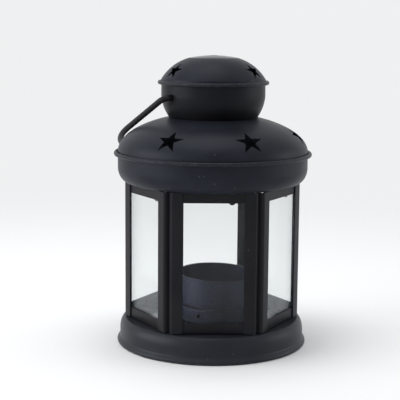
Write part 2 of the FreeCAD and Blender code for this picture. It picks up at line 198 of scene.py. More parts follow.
# Hand-made unevenness
DENT = 0.07             # how far the pressed sheet wanders
DENT_SIZE = 17.0
DENT_SEED = 7           # keeps the pattern the same from run to run
DENT_SHIFT = Vector((7.3, 3.1, 5.7))    # moves the pattern on from piece to piece

# Paint, with the scale of its patterns per metre
PAINT_SHIFT = Vector((1.0, 0.7, 1.3))   # moves the patterns on from paint to paint
# The blue in these tones is partly the paint's own, partly painted cool light from above
PAINT_DARK = (0.0092, 0.0104, 0.0142)
PAINT_LIGHT = (0.0140, 0.0156, 0.0206)
PAINT_GLINT_COOL_LIGHT = (0.84, 0.91, 1.0, 1.0)    # tint of its reflections, painted cool light from above
CLOUD_SCALE = 70.0
CLOUD_DETAIL = 4.0
CLOUD_RANGE = (0.3, 0.7)
SATIN = (0.36, 0.46)    # roughness across the clouds
POLISHED = 0.14         # roughness of the smoothest flats
PEEL_SCALE = 1500.0
PEEL_DETAIL = 2.0
PEEL_STRENGTH = 0.12
PEEL_DEPTH = 0.12
DUST = (0.085, 0.083, 0.078)
SPECK_SCALE = 420.0
SPECK_EDGE = (0.16, 0.08)   # a speck fades in between these distances from its middle
SPECK_BLUR = 0.02       # softness of the choice of cells that hold a speck
# Lighter tone of scuffed edges, also used for the painted highlight on the rolled rims
RUBBED_AND_HIGHLIT = (0.075, 0.076, 0.080)
RUB_SCALE = 520.0
RUB_DETAIL = 5.0
RUB_RANGE = (0.42, 0.66)
RUB_SHARE = (0.25, 1.0)     # share of the scuffing and painted highlight that shows, from the least to the most scuffed spots

# Glass
GLASS_CLEAN = (0.955, 0.966, 0.962)
GLASS_FILMED = (0.925, 0.94, 0.936)
GLASS_IOR = 1.45
GLASS_CLEAR = 0.984     # share of the light that isn't lost to haze
GLASS_GLINT = (0.0, 0.0, 0.0, 1.0)      # no reflection head-on
FILM_SCALE = 55.0
FILM_DETAIL = 6.0
FILM_RANGE = (0.3, 0.8)
FILM_SHEEN = 1.0
FILM_ROUGHNESS = 0.3
# Blue of the film's sheen: painted cool light on what shows through the panes
FILM_COOL_LIGHT_TINT = (0.6, 0.86, 1.0, 1.0)

# Steel
STEEL_DARK = (0.40, 0.40, 0.39)
STEEL_LIGHT = (0.58, 0.58, 0.57)
STEEL_ROUGHNESS = (0.32, 0.5)
BRUSH_STRETCH = (1.0, 1.0, 14.0)
BRUSH_SCALE = 900.0
BRUSH_DETAIL = 3.0
BRUSH_RANGE = (0.2, 0.8)

# Studio, in metres
BACKGROUND = 0.88
WORLD_COLOUR = (0.985, 0.99, 1.0, 1.0)
FRONT_TO_BACK = (-0.9, 0.1)     # of the direction along Y, where front light turns to back light
LEFT_TO_RIGHT = (-0.8, 0.8)     # and along X, where left light turns to right light
FRONT_LIGHT = 0.12
BACK_LIGHT = 1.0
LEFT_LIGHT = 0.92
RIGHT_LIGHT = 0.86
LAMP_AIM = Vector((0, 0, 0.07))
FLOOR_HALF = 6.0
FLOOR_CELLS = 8
FLOOR_DARK = (0.855, 0.86, 0.865)
FLOOR_LIGHT = (0.885, 0.89, 0.895)
FLOOR_ROUGHNESS = 0.9
FLOOR_GLOSS = 0.1
FLOOR_SCALE = 900.0
FLOOR_DETAIL = 2.0
FLOOR_FADE = (0.12, 0.55)       # from the axis, where the floor runs out into the background

# Camera
CAMERA_PLACE = Vector((-13.3, -587.8, 167.0))
CAMERA_PITCH = 9.09     # degrees, downwards
CAMERA_YAW = -0.685
CAMERA_ROLL = 0.45
SENSOR_W = 36.0
LENS = 105.1
CLIP_NEAR = 0.01        # metres
CLIP_FAR = 50.0


# Profiles, as lists of (radius, height)

def flat(r, z):
    """Point of a profile."""
    return Vector((r, z))


def ellipse(centre, across, upward, start, end, steps):
    """Points of an upright ellipse between two angles in degrees, counted from outwards to upwards."""
    angles = [math.radians(start + (end - start) * k / steps) for k in range(steps + 1)]
    return [centre + flat(across * math.cos(a), upward * math.sin(a)) for a in angles]


def arc(centre, radius, start, end, steps):
    """Points of a circle between two angles in degrees."""
    return ellipse(centre, radius, radius, start, end, steps)


def bulge_circle(p, q, rise):
    """Centre, radius and end angles in degrees of the arc from p up to q that bulges out by rise."""
    chord = q - p
    radius = (chord.length_squared / 4 + rise * rise) / (2 * rise)
    out = flat(chord.y, -chord.x).normalized()
    centre = (p + q) / 2 - out * (radius - rise)
    start, end = (math.degrees(math.atan2(e.y - centre.y, e.x - centre.x)) for e in (p, q))
    return centre, radius, start, end


def bulged(p, q, rise, steps):
    """Points of the arc from p up to q that bulges out by rise."""
    centre, radius, start, end = bulge_circle(p, q, rise)
    return arc(centre, radius, start, end, steps)


def straight(p, q, steps):
    """Points of the line from p to q."""
    return [p.lerp(q, k / steps) for k in range(steps + 1)]


def crowned(apex, edge, inner_r, steps):
    """Arc from inner_r out to edge, on the circle that is level at the apex on the axis."""
    rise = apex - edge.y
    radius = (edge.x ** 2 + rise ** 2) / (2 * rise)
    reach = [inner_r + (edge.x - inner_r) * k / steps for k in range(steps + 1)]
    return [flat(r, apex - radius + math.sqrt(radius ** 2 - r ** 2)) for r in reach]


def flared(p, q, steps):
    """Line from p down to q that is upright at both ends."""
    shares = [k / steps for k in range(steps + 1)]
    return [flat(p.x + (q.x - p.x) * s * s * (3 - 2 * s), p.y + (q.y - p.y) * s) for s in shares]


# Meshes

def made(bm, name):
    """Linked object with a closed, outward-facing mesh."""
    bmesh.ops.recalc_face_normals(bm, faces=bm.faces)
    mesh = bpy.data.meshes.new(name)
    bm.to_mesh(mesh)
    bm.free()
    obj = bpy.data.objects.new(name, mesh)
    bpy.context.scene.collection.objects.link(obj)
    return obj


def lathe(name, profile):
    """Closed shell of revolution about the axis from a closed profile."""
    bm = bmesh.new()
    rings = []
    for r, z in profile:
        count = ROUND_STEPS if r > 0 else 1
        turns = [2 * math.pi * k / ROUND_STEPS for k in range(count)]
        rings.append([bm.verts.new(Vector((r * math.sin(a), -r * math.cos(a), z)) * MM) for a in turns])
    for ring, after in zip(rings, rings[1:] + rings[:1]):
        for k in range(ROUND_STEPS):
            corners = (ring[k % len(ring)], ring[(k + 1) % len(ring)],
                       after[(k + 1) % len(after)], after[k % len(after)])
            corners = list(dict.fromkeys(corners))
            if len(corners) > 2:
                bm.faces.new(corners)
    return made(bm, name)


def prism(bm, points, rise):
    """Closed prism from a ring of points, in millimetres."""
    low = [bm.verts.new(Vector(p) * MM) for p in points]
    high = [bm.verts.new((Vector(p) + rise) * MM) for p in points]
    bm.faces.new(low)
    bm.faces.new(high[::-1])
    for k in range(len(low)):
        after = (k + 1) % len(low)
        bm.faces.new((low[after], low[k], high[k], high[after]))


def turned_point(x, out, z, azimuth):
    """Point x to the right of the axis and out before it, as seen from the front, turned about the axis."""
    return Matrix.Rotation(math.radians(azimuth), 3, "Z") @ Vector((x, -out, z))


def hole(bm, middle, across, radius, through):
    """Prism of a round hole, from a ring on the plane of across and up."""
    turns = [2 * math.pi * k / HOLE_STEPS for k in range(HOLE_STEPS)]
    prism(bm, [middle + (across * math.cos(a) + UP * math.sin(a)) * radius for a in turns], through)


def star(bm, place, out, radius, azimuth):
    """Prism of a star through a shell at place, one point towards the apex."""
    up_slope = flat(-out.y, out.x)
    inner = place - out * STAR_CUT
    points = []
    for k in range(2 * STAR_POINTS):
        reach = radius if k % 2 == 0 else radius * STAR_INNER
        angle = math.pi / STAR_POINTS * k
        spot = inner + up_slope * (reach * math.cos(angle))
        points.append(turned_point(reach * math.sin(angle), spot.x, spot.y, azimuth))
    prism(bm, points, turned_point(0, out.x, out.y, azimuth) * (2 * STAR_CUT))


def cut(obj, cutters):
    """Cuts the prisms of the cutters' mesh out of obj."""
    tool = made(cutters, obj.name + "_cutter")
    modifier = obj.modifiers.new("cut", "BOOLEAN")
    modifier.operation = "DIFFERENCE"
    modifier.solver = "EXACT"
    modifier.object = tool
    bpy.context.view_layer.update()
    whole = obj.data
    obj.data = bpy.data.meshes.new_from_object(obj.evaluated_get(bpy.context.evaluated_depsgraph_get()))
    obj.modifiers.clear()
    bpy.data.meshes.remove(whole)
    bpy.data.objects.remove(tool)
    obj.data.name = obj.name


def marked(obj, name, share):
    """Point attribute on a turned piece, from its share at each radius and height."""
    values = obj.data.attributes.new(name, "FLOAT", "POINT").data
    for vertex, value in zip(obj.data.vertices, values):
        value.value = share(math.hypot(vertex.co.x, vertex.co.y) / MM, vertex.co.z / MM)


def uneven(obj, seed):
    """Lets the sheet wander a little, both of its faces together, and keeps it on the table."""
    for vertex in obj.data.vertices:
        place = vertex.co / (DENT_SIZE * MM) + DENT_SHIFT * seed
        vertex.co += noise.noise_vector(place) * (DENT * MM)
        vertex.co.z = max(vertex.co.z, 0.0)


def dressed(obj, material, body, *nodes, slot="black_paint"):
    """Smooth shading, material and place in the frame."""
    obj.data.polygons.foreach_set("use_smooth", [True] * len(obj.data.polygons))
    obj.data.set_sharp_from_angle(angle=math.radians(SMOOTH_BELOW))
    obj.data.materials.clear()
    obj.data.materials.append(material)
    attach(obj, body)
    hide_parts(*nodes)


# Materials

def add(tree, kind, inputs=(), **settings):
    """New shader node with its settings; an input is a value or another node's output."""
    node = tree.nodes.new(kind)
    for name, value in settings.items():
        setattr(node, name, value)
    for name, value in dict(inputs).items():
        if isinstance(value, bpy.types.NodeSocket):
            tree.links.new(value, node.inputs[name])
        else:
            node.inputs[name].default_value = value
    return node


def new_material(name):
    """Material with its node tree and its shader."""
    material = bpy.data.materials.new(name)
    material.use_nodes = True
    return material, material.node_tree, material.node_tree.nodes["Principled BSDF"]


def pattern(tree, place, scale, detail):
    """Cloudy noise between about 0 and 1."""
    inputs = {"Vector": place, "Scale": scale, "Detail": detail}
    return add(tree, "ShaderNodeTexNoise", inputs).outputs["Fac"]


def remap(tree, value, source, target=(0.0, 1.0), smooth=False):
    """Value carried over from the source range to the target range."""
    ranges = {"Value": value, "From Min": source[0], "From Max": source[1],
              "To Min": target[0], "To Max": target[1]}
    kind = "SMOOTHSTEP" if smooth else "LINEAR"
    return add(tree, "ShaderNodeMapRange", ranges, interpolation_type=kind).outputs["Result"]


def maths(tree, operation, a, b):
    """Two values joined by one operation."""
    return add(tree, "ShaderNodeMath", {0: a, 1: b}, operation=operation).outputs[0]


def blend(tree, factor, a, b):
    """Colour between a and b."""
    mix = add(tree, "ShaderNodeMix", {"Factor": factor}, data_type="RGBA")
    sockets = [socket for socket in mix.inputs if socket.type == "RGBA"]
    for socket, value in zip(sockets, (a, b)):
        if isinstance(value, bpy.types.NodeSocket):
            tree.links.new(value, socket)
        else:
            socket.default_value = (*value, 1.0)
    return next(socket for socket in mix.outputs if socket.type == "RGBA")


def black_paint(name, seed, shade, dust, gloss):
    """Satin black paint on tin: cloudy tone, orange peel, dust specks, scuffed edges with a painted
    highlight on the rolled rims, and smoother flats; each piece's copy is made lighter or darker by shade,
    which paints in the light and shade that fall on that piece.
    """
    material, tree, shader = new_material(name)
    coords = add(tree, "ShaderNodeTexCoord").outputs["Object"]
    moved = {"Vector": coords, "Location": PAINT_SHIFT * seed}
    place = add(tree, "ShaderNodeMapping", moved).outputs["Vector"]
    cloud = pattern(tree, place, CLOUD_SCALE, CLOUD_DETAIL)
    peel = pattern(tree, place, PEEL_SCALE, PEEL_DETAIL)
    flakes = pattern(tree, place, RUB_SCALE, RUB_DETAIL)
    # Painted light and shade: the tones are made lighter or darker for each piece by how much light falls
    # on it
    dark, light = ([a * b for a, b in zip(tone, shade)] for tone in (PAINT_DARK, PAINT_LIGHT))
    colour = blend(tree, remap(tree, cloud, CLOUD_RANGE), dark, light)
    cells = add(tree, "ShaderNodeTexVoronoi", {"Vector": place, "Scale": SPECK_SCALE}).outputs
    shades = add(tree, "ShaderNodeSeparateColor", {"Color": cells["Color"]}).outputs
    chosen = remap(tree, shades["Red"], (1.0 - dust, 1.0 - dust + SPECK_BLUR))
    specks = maths(tree, "MULTIPLY", remap(tree, cells["Distance"], SPECK_EDGE, smooth=True), chosen)
    colour = blend(tree, specks, colour, DUST)
    # Scuffed edges, and the painted highlight along the rolled rims, take the lighter tone
    worn_and_lit = add(tree, "ShaderNodeAttribute", attribute_name="wear_and_highlight").outputs["Fac"]
    rubbed_and_lit = maths(tree, "MULTIPLY", remap(tree, flakes, RUB_RANGE, RUB_SHARE, smooth=True), worn_and_lit)
    colour = blend(tree, rubbed_and_lit, colour, RUBBED_AND_HIGHLIT)
    tree.links.new(colour, shader.inputs["Base Color"])
    satin = remap(tree, cloud, CLOUD_RANGE, SATIN)
    smooth = add(tree, "ShaderNodeAttribute", attribute_name="polish").outputs["Fac"]
    rough = add(tree, "ShaderNodeMix", {"Factor": smooth, "A": satin, "B": POLISHED}, data_type="FLOAT")
    tree.links.new(rough.outputs["Result"], shader.inputs["Roughness"])
    shader.inputs["Specular IOR Level"].default_value = gloss
    shader.inputs["Specular Tint"].default_value = PAINT_GLINT_COOL_LIGHT
    relief = {"Height": peel, "Strength": PEEL_STRENGTH, "Distance": PEEL_DEPTH * MM}
    tree.links.new(add(tree, "ShaderNodeBump", relief).outputs["Normal"], shader.inputs["Normal"])
    return material


def window_glass():
    """Clear float glass with a faint film on it."""
    material, tree, shader = new_material("window_glass")
    coords = add(tree, "ShaderNodeTexCoord").outputs["Object"]
    film = remap(tree, pattern(tree, coords, FILM_SCALE, FILM_DETAIL), FILM_RANGE)
    tree.links.new(blend(tree, film, GLASS_CLEAN, GLASS_FILMED), shader.inputs["Base Color"])
    shader.inputs["Roughness"].default_value = 0.0
    shader.inputs["IOR"].default_value = GLASS_IOR
    shader.inputs["Transmission Weight"].default_value = GLASS_CLEAR
    shader.inputs["Specular Tint"].default_value = GLASS_GLINT
    shader.inputs["Sheen Weight"].default_value = FILM_SHEEN
    shader.inputs["Sheen Roughness"].default_value = FILM_ROUGHNESS
    shader.inputs["Sheen Tint"].default_value = FILM_COOL_LIGHT_TINT
    return material


def bare_steel():
    """Dull spring steel with fine brushing."""
    material, tree, shader = new_material("bare_steel")
    coords = add(tree, "ShaderNodeTexCoord").outputs["Object"]
    stretched = add(tree, "ShaderNodeMapping", {"Vector": coords, "Scale": BRUSH_STRETCH})
    brushed = pattern(tree, stretched.outputs["Vector"], BRUSH_SCALE, BRUSH_DETAIL)
    tree.links.new(blend(tree, brushed, STEEL_DARK, STEEL_LIGHT), shader.inputs["Base Color"])
    tree.links.new(remap(tree, brushed, BRUSH_RANGE, STEEL_ROUGHNESS), shader.inputs["Roughness"])
    shader.inputs["Metallic"].default_value = 1.0
    return material


# Turned pieces

def base_pan(material):
    """Pressed pan with a rounded shoulder and a rolled hem to stand on."""
    shoulder = flat(PAN_R - SHOULDER_W, FRAME_LOW - SHOULDER_H)
    hem = flat(HEM_R, pan_low.z + HEM_TUBE - HEM_FLAT)
    inner_join = math.degrees(math.acos((PAN_R - SHEET - HEM_R) / HEM_TUBE))
    under = FRAME_LOW - SHEET
    profile = straight(flat(0, FRAME_LOW), flat(shoulder.x, FRAME_LOW), PAN_STEPS)
    profile += ellipse(shoulder, SHOULDER_W, SHOULDER_H, 90, 0, SHOULDER_STEPS)[1:]
    profile += flared(flat(PAN_R, hem.y + HEM_FLARE), flat(HEM_R + HEM_TUBE, hem.y), FLARE_STEPS)
    rolled = arc(hem, HEM_TUBE, 0, inner_join - 360, HEM_STEPS)[1:]
    profile += [flat(p.x, max(p.y, pan_low.z)) for p in rolled]
    profile += ellipse(shoulder, SHOULDER_W - SHEET, SHOULDER_H - SHEET, 0, 90, SHOULDER_STEPS)
    profile += straight(flat(shoulder.x, under), flat(0, under), PAN_STEPS)[1:]
    obj = lathe("pressed_base_pan", profile)
    marked(obj, "wear_and_highlight", lambda r, z: HEM_WEAR if r > HEM_R and z < hem.y else 0.0)
    marked(obj, "polish", lambda r, z: 1.0 if r < PAN_POLISH_R else 0.0)
    uneven(obj, seed=1)
    dressed(obj, material, "base", "base_pan")


def cup_pedestal(material):
    """Drawn pedestal under the cup, with a small hole in its wall."""
    low = pedestal_low.z
    top = pedestal_high.z
    inner = PEDESTAL_R - SHEET
    edge = flat(inner, top - SHEET)
    profile = straight(flat(0, top), flat(edge.x, top), PEDESTAL_STEPS)
    profile += arc(edge, SHEET, 90, 0, PEDESTAL_STEPS)[1:]
    profile += straight(flat(PEDESTAL_R, edge.y), flat(PEDESTAL_R, low), PEDESTAL_STEPS)[1:]
    profile += straight(flat(inner, low), edge, PEDESTAL_STEPS)
    profile.append(flat(0, edge.y))
    obj = lathe("drawn_cup_pedestal", profile)
    middle = turned_point(0, PEDESTAL_R + SHEET, (low + top) / 2, PEDESTAL_HOLE_AZIMUTH)
    across = turned_point(1, 0, 0, PEDESTAL_HOLE_AZIMUTH)
    inwards = turned_point(0, -1, 0, PEDESTAL_HOLE_AZIMUTH)
    holes = bmesh.new()
    hole(holes, middle, across, PEDESTAL_HOLE, inwards * DRILL)
    cut(obj, holes)
    for vertex in obj.data.vertices:
        vertex.co.x += CUP_X * MM
    dressed(obj, material, "base", "cup_pedestal")


def candle_cup(material):
    """Drawn cup with a beaded rim, leaning a little on the edge of its foot."""
    low = cup_low.z
    rim = cup_high.z - CUP_BEAD
    out = CUP_BORE + CUP_WALL
    foot = flat(out - CUP_FOOT_ROUND, low + CUP_FOOT_ROUND)
    inside = flat(CUP_BORE - CUP_FOOT_ROUND, low + SHEET + CUP_FOOT_ROUND)
    bead = flat(CUP_BORE + CUP_BEAD, rim)
    profile = straight(flat(0, low), flat(foot.x, low), CUP_STEPS)
    profile += arc(foot, CUP_FOOT_ROUND, -90, 0, CUP_STEPS)[1:]
    profile += straight(flat(out, foot.y), flat(out, rim - CUP_BEAD), CUP_STEPS)[1:]
    profile += arc(bead, CUP_BEAD, CUP_BEAD_START, 180, CUP_BEAD_STEPS)
    profile += straight(flat(CUP_BORE, rim - CUP_BEAD), flat(CUP_BORE, inside.y), CUP_STEPS)
    profile += arc(inside, CUP_FOOT_ROUND, 0, -90, CUP_STEPS)[1:]
    profile.append(flat(0, low + SHEET))
    obj = lathe("beaded_candle_cup", profile)
    marked(obj, "wear_and_highlight", lambda r, z: CUP_WEAR if z > rim or r > foot.x and z < foot.y else 0.0)
    uneven(obj, seed=2)
    edge = turned_point(0, foot.x, low, CUP_LEAN_AZIMUTH) * MM
    hinge = turned_point(1, 0, 0, CUP_LEAN_AZIMUTH)
    lean = Matrix.Rotation(math.radians(CUP_LEAN), 3, hinge)
    for vertex in obj.data.vertices:
        vertex.co = lean @ (vertex.co - edge) + edge + Vector((CUP_X * MM, 0, 0))
    dressed(obj, material, "base", "candle_cup")


def roof_skirt(material):
    """Drum under the dome, rounded in at its foot to a flange."""
    centre = flat(SKIRT_R - SKIRT_ROUND_W, FRAME_TOP + SKIRT_ROUND_H)
    inside = FRAME_TOP + SHEET
    profile = straight(flat(SKIRT_R, skirt_high.z), flat(SKIRT_R, centre.y), SKIRT_STEPS)
    profile += ellipse(centre, SKIRT_ROUND_W, SKIRT_ROUND_H, 0, -90, SKIRT_ROUND_STEPS)[1:]
    profile += straight(flat(centre.x, FRAME_TOP), flat(FLANGE_IN, FRAME_TOP), SKIRT_STEPS)[1:]
    profile += straight(flat(FLANGE_IN, inside), flat(centre.x, inside), SKIRT_STEPS)
    profile += ellipse(centre, SKIRT_ROUND_W - SHEET, SKIRT_ROUND_H - SHEET, -90, 0, SKIRT_ROUND_STEPS)[1:]
    profile.append(flat(SKIRT_R - SHEET, skirt_high.z))
    obj = lathe("pressed_roof_skirt", profile)
    uneven(obj, seed=3)
    dressed(obj, material, "lantern", "roof_skirt")


def rolled_rim(shell_r, edge_z, overhang, tube, sit):
    """Rim's profile from the shell's wall round the roll and down the spigot to the shell's inner face."""
    centre = flat(shell_r + overhang - tube, edge_z + sit)
    join = math.degrees(math.acos((shell_r - centre.x) / tube))
    under = -math.degrees(math.asin(sit / tube))
    spigot_out = shell_r - SHEET - SEAM
    spigot_in = spigot_out - SPIGOT_W
    points = arc(centre, tube, join, under, BEAD_STEPS)
    points += [flat(spigot_out, edge_z), flat(spigot_out, edge_z - SPIGOT_H)]
    points += [flat(spigot_in, edge_z - SPIGOT_H), flat(spigot_in, edge_z + sit)]
    points.append(flat(shell_r - SHEET, edge_z + sit))
    return points


def roof_dome(material):
    """Dome with a rolled rim, a flat seat for the chimney and a ring of stars."""
    spring = flat(0, skirt_high.z + DOME_SPRING)
    seat_z = dome_high.z
    inner_r = SKIRT_R - SHEET
    inner_h = DOME_H - SHEET
    top = math.degrees(math.acos(SEAT_R / SKIRT_R))
    inner_top = math.degrees(math.asin((seat_z - SHEET - spring.y) / inner_h))
    profile = straight(flat(VENT_R, seat_z), flat(SEAT_R, seat_z), SEAT_STEPS)
    profile += ellipse(spring, SKIRT_R, DOME_H, top, 0, DOME_STEPS)[1:]
    profile += rolled_rim(SKIRT_R, skirt_high.z, BEAD_OVERHANG, BEAD, BEAD_SIT)
    profile += ellipse(spring, inner_r, inner_h, 0, inner_top, DOME_STEPS)
    profile.append(flat(VENT_R, seat_z - SHEET))
    obj = lathe("starred_roof_dome", profile)
    angle = math.acos((SKIRT_R - DOME_STAR_INSET) / SKIRT_R)
    place = spring + flat(SKIRT_R * math.cos(angle), DOME_H * math.sin(angle))
    out = flat(math.cos(angle) / SKIRT_R, math.sin(angle) / DOME_H).normalized()
    stars = bmesh.new()
    for azimuth in DOME_STAR_AZIMUTHS:
        star(stars, place, out, DOME_STAR_R, azimuth)
    cut(obj, stars)
    roll_r = SKIRT_R + BEAD_OVERHANG - BEAD
    # Painted highlight, with a little scuffing, along the top of the rolled rim
    marked(obj, "wear_and_highlight", lambda r, z: BEAD_WEAR_AND_HIGHLIGHT if r > roll_r and z > skirt_high.z else 0.0)
    uneven(obj, seed=4)
    dressed(obj, material, "lantern", "roof_dome")


def chimney_bowl(material):
    """Bowl on the dome's seat, with the two pivot holes of the bail."""
    seat_z = bowl_low.z
    pivot_z = seat_z + BOWL_SWELL
    foot_z = seat_z + SHEET
    inner_r = BOWL_R - SHEET
    outside = bulged(flat(SEAT_R, seat_z), flat(BOWL_R, pivot_z), BOWL_BULGE, BOWL_SWELL_STEPS)
    inside = bulged(flat(SEAT_R - SHEET, foot_z), flat(inner_r, pivot_z), BOWL_BULGE, BOWL_SWELL_STEPS)
    profile = straight(flat(VENT_R, seat_z), flat(SEAT_R, seat_z), BOWL_FOOT_STEPS)
    profile += outside[1:]
    profile += straight(flat(BOWL_R, pivot_z), flat(BOWL_R, bowl_high.z), BOWL_WALL_STEPS)[1:]
    profile += straight(flat(inner_r, bowl_high.z), flat(inner_r, pivot_z), BOWL_WALL_STEPS)
    profile += inside[::-1][1:]
    profile.append(flat(VENT_R, foot_z))
    obj = lathe("drawn_chimney_bowl", profile)
    axis = Vector(swing["axis"])
    across = Vector((-axis.y, axis.x, 0))
    holes = bmesh.new()
    for side in (-1, 1):
        middle = axis * (side * (BOWL_R - DRILL)) + UP * pivot_z
        hole(holes, middle, across, WIRE_R + PIVOT_FIT, axis * (side * 2 * DRILL))
    cut(obj, holes)
    uneven(obj, seed=5)
    dressed(obj, material, "lantern", "chimney_bowl")


def crown_top():
    """Height of the cap's crown on the axis: the frame's box ends at the edge of the hole."""
    fall = CAP_CROWN * (CAP_HOLE / CAP_FLAT_R) ** 2
    return cap_high.z + fall


def chimney_cap(material):
    """Cap with a rolled rim, a ring of stars and a crowned top with a small hole."""
    foot = flat(BOWL_R, bowl_high.z + CAP_FOOT)
    apex = crown_top()
    head = flat(CAP_FLAT_R, apex - CAP_CROWN)
    inner_foot = flat(BOWL_R - SHEET, foot.y)
    inner_head = flat(CAP_FLAT_R - SHEET, head.y - SHEET)
    profile = crowned(apex, head, CAP_HOLE, CAP_CROWN_STEPS)
    profile += bulged(foot, head, CAP_BULGE, CAP_STEPS)[::-1][1:]
    profile += rolled_rim(BOWL_R, bowl_high.z, CAP_BEAD_OVERHANG, CAP_BEAD, CAP_BEAD_SIT)
    profile += bulged(inner_foot, inner_head, CAP_BULGE, CAP_STEPS)
    profile += crowned(apex - SHEET, inner_head, CAP_HOLE, CAP_CROWN_STEPS)[::-1][1:]
    obj = lathe("starred_chimney_cap", profile)
    centre, radius, start, end = bulge_circle(foot, head, CAP_BULGE)
    angle = math.radians(start + (end - start) * CAP_STAR_UP)
    out = flat(math.cos(angle), math.sin(angle))
    stars = bmesh.new()
    for k in range(CAP_STARS):
        star(stars, centre + out * radius, out, CAP_STAR_R, CAP_STAR_AZIMUTH + 360 / CAP_STARS * k)
    cut(obj, stars)
    roll_r = BOWL_R + CAP_BEAD_OVERHANG - CAP_BEAD
    # Painted highlight, with a little scuffing, along the top of the rolled rim
    marked(obj, "wear_and_highlight", lambda r, z: BEAD_WEAR_AND_HIGHLIGHT if r > roll_r else 0.0)
    marked(obj, "polish", lambda r, z: 1.0 if r < CAP_FLAT_R + SHEET else 0.0)
    uneven(obj, seed=6)
    dressed(obj, material, "lantern", "chimney_cap")


# Folded pieces

def fillet(points, radii):
    """Open line through points, with its inner corners rounded by the radii."""
    line = [points[0]]
    for before, corner, after, radius in zip(points, points[1:], points[2:], radii):
        back = (before - corner).normalized()
        ahead = (after - corner).normalized()
        half = back.angle(ahead) / 2
        reach = radius / math.tan(half)
        centre = corner + (back + ahead).normalized() * (radius / math.sin(half))
        start = corner + back * reach - centre
        turn = start.angle_signed(corner + ahead * reach - centre)
        for k in range(FOLD_STEPS + 1):
            line.append(centre + Matrix.Rotation(-turn * k / FOLD_STEPS, 2) @ start)
    return line + [points[-1]]


def strip_section(points, *radii):
    """Closed outline of a folded strip around its middle line, with round edges."""
    line = fillet(points, radii)
    left, right = [], []
    for k, point in enumerate(line):
        before = line[max(k - 1, 0)]
        after = line[min(k + 1, len(line) - 1)]
        along = (after - before).normalized()
        side = flat(-along.y, along.x) * (SHEET / 2)
        left.append(point + side)
        right.append(point - side)
    tail = line[-1] + (line[-1] - line[-2]).normalized() * EDGE_ROUND
    nose = line[0] + (line[0] - line[1]).normalized() * EDGE_ROUND
    return left + [tail] + right[::-1] + [nose]


def beside_corner(reach):
    """Point on the face to the right of the corner at azimuth 0, reach away from the corner."""
    tilt = math.pi / SIDES
    corner_r = FRAME_APOTHEM / math.cos(tilt)
    return flat(reach * math.cos(tilt), reach * math.sin(tilt) - corner_r)


def corner_posts(material):
    """Folded corner strips with a V groove down each corner."""
    tilt = math.pi / SIDES
    face_in = flat(-math.sin(tilt), math.cos(tilt)) * (SHEET / 2)
    lip = beside_corner(GROOVE_LIP)
    end = beside_corner(GROOVE_LIP + STILE - EDGE_ROUND)
    wall = (flat(0, lip.y + GROOVE_DEPTH) - lip).normalized()
    wall_side = flat(-wall.y, wall.x)
    middle_lip = lip + (face_in + wall_side * (SHEET / 2)) / (1 + face_in.normalized().dot(wall_side))
    bottom = flat(0, lip.y + GROOVE_DEPTH + SHEET / 2 / abs(wall_side.y))
    right = [middle_lip, end + face_in]
    line = [flat(-p.x, p.y) for p in right[::-1]] + [bottom] + right
    outline = strip_section(line, LIP_FOLD, GROOVE_FOLD, LIP_FOLD)
    foot = FRAME_LOW + POST_FOOT_GAP
    for k in range(SIDES):
        turn = Matrix.Rotation(math.radians(360 / SIDES * (k + 1 / 2)), 3, "Z")
        bm = bmesh.new()
        prism(bm, [turn @ Vector((p.x, p.y, foot)) for p in outline], UP * (FRAME_TOP - foot))
        obj = made(bm, "folded_corner_post_%d" % (k + 1))
        dressed(obj, material, "lantern", "corner_post_%d" % (k + 1))


def along_face(bm, outline, half, azimuth):
    """Strip along a face from an outline of (out from the axis, height)."""
    ring = [turned_point(-half, p.x, p.y, azimuth) for p in outline]
    prism(bm, ring, turned_point(2 * half, 0, 0, azimuth))


def rails(material):
    """Channels under the panes, and flanged strips over them."""
    web = FRAME_APOTHEM - SHEET - SHEET / 2
    lip = FRAME_APOTHEM - 2 * SHEET - 2 * SEAM - GLASS - SHEET / 2
    floor = FRAME_LOW + SHEET / 2
    roof = FRAME_TOP - SHEET / 2
    rail_half = rail_high.x
    channel = [flat(web, FRAME_LOW + BOTTOM_RAIL - EDGE_ROUND), flat(web, floor), flat(lip, floor),
               flat(lip, FRAME_LOW + CHANNEL_LIP - EDGE_ROUND)]
    channel = strip_section(channel, RAIL_FOLD, RAIL_FOLD)
    head = strip_section([flat(web, FRAME_TOP - TOP_RAIL + EDGE_ROUND), flat(web, FRAME_TOP - EDGE_ROUND)])
    flange = strip_section([flat(web - SHEET / 2, roof), flat(FLANGE_IN + EDGE_ROUND, roof)])
    for k in range(SIDES):
        azimuth = 360 / SIDES * k
        number = k + 1
        bm = bmesh.new()
        along_face(bm, channel, rail_half, azimuth)
        dressed(made(bm, "channel_rail_%d" % number), material, "lantern", "bottom_rail_%d" % number)
        bm = bmesh.new()
        along_face(bm, head, rail_half, azimuth)
        along_face(bm, flange, FLANGE_HALF, azimuth)
        dressed(made(bm, "head_rail_%d" % number), material, "lantern", "top_rail_%d" % number)


# Bail

def bail_line():
    """Middle line of the wire on its own plane: pivot line along the first axis, bow along the second."""
    half = BOWL_R + CAP_BEAD_OVERHANG + BAIL_CLEAR + WIRE_R
    inner = BOWL_R - SHEET - PIVOT_REACH
    right = straight(flat(inner, 0), flat(half - BAIL_BEND, 0), PIVOT_STEPS)
    right += arc(flat(half - BAIL_BEND, BAIL_BEND), BAIL_BEND, -90, 0, BAIL_BEND_STEPS)[1:]
    right += straight(flat(half, BAIL_BEND), flat(half, BAIL_LEG), BAIL_LEG_STEPS)[1:]
    bow = arc(flat(0, BAIL_LEG), half, 0, 180, BAIL_BOW_STEPS)
    return right + bow[1:-1] + [flat(-p.x, p.y) for p in right[::-1]]


